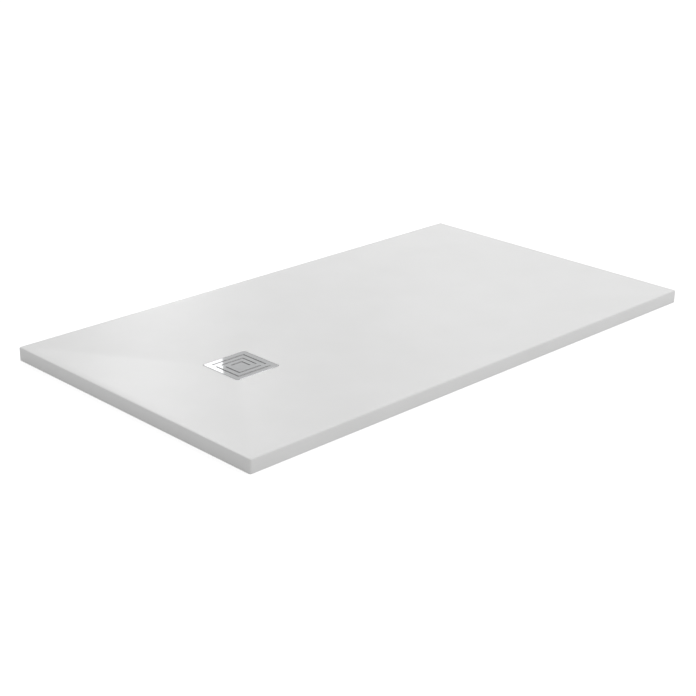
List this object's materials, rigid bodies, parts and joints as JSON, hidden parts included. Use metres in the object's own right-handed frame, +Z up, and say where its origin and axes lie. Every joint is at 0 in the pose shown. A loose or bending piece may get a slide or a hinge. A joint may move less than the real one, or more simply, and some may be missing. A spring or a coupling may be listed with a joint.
{
  "type": "shower tray",
  "caption": "Low rectangular white shower tray with four shallow falls to a square slotted metal grate near one end, and a water-seal trap with swinging outlet below.",
  "frame": {"origin": "centre of the tray's flat underside, at the floor's level; the trap hangs below it", "axes": "+Z up, +X along the tray's length, away from the drain; the drain is near the -X end and the outlet points to -X"},
  "size_m": [1.4, 0.8, 0.152],
  "materials": {
    "white_resin": "satin",
    "polished_steel": "polished",
    "plain_steel": "satin",
    "satin_steel": "satin",
    "brass": "satin",
    "dark_rubber": "matte",
    "white_plastic": "satin",
    "grey_plastic": "satin"
  },
  "bodies": {
    "tray": {"tray_slab": "white_resin", "waste_flange": "satin_steel", "flange_screws": "plain_steel", "screw_inserts": "brass", "upper_gasket": "dark_rubber", "lower_gasket": "dark_rubber", "trap_body": "white_plastic", "ball_seal": "dark_rubber", "ball_slip_washer": "grey_plastic", "ball_nut": "white_plastic"},
    "outlet": {"outlet_tube": "white_plastic", "pipe_cone_seal": "dark_rubber", "pipe_slip_washer": "grey_plastic", "pipe_nut": "white_plastic"},
    "dip_tube_part": {"dip_tube": "grey_plastic", "dip_tube_o_ring": "dark_rubber"},
    "strainer": {"hair_strainer": "grey_plastic"},
    "grate": {"grate_plate": "polished_steel", "grate_pins": "plain_steel", "grate_feet": "dark_rubber"}
  },
  "joints": [
    {"name": "dip_tube_lift", "type": "slide", "parent": "tray", "child": "dip_tube_part", "axis": [0, 0, 1], "range_m": [0, 0.15]},
    {"name": "strainer_lift", "type": "slide", "parent": "dip_tube_part", "child": "strainer", "axis": [0, 0, 1], "range_m": [0, 0.08]},
    {"name": "grate_lift", "type": "slide", "parent": "strainer", "child": "grate", "axis": [0, 0, 1], "range_m": [0, 0.12]},
    {"name": "outlet_swing", "type": "hinge", "parent": "tray", "child": "outlet", "pos_m": [-0.466, 0, -0.038], "axis": [0, 0, 1], "range_deg": [-8, 8]}
  ]
}
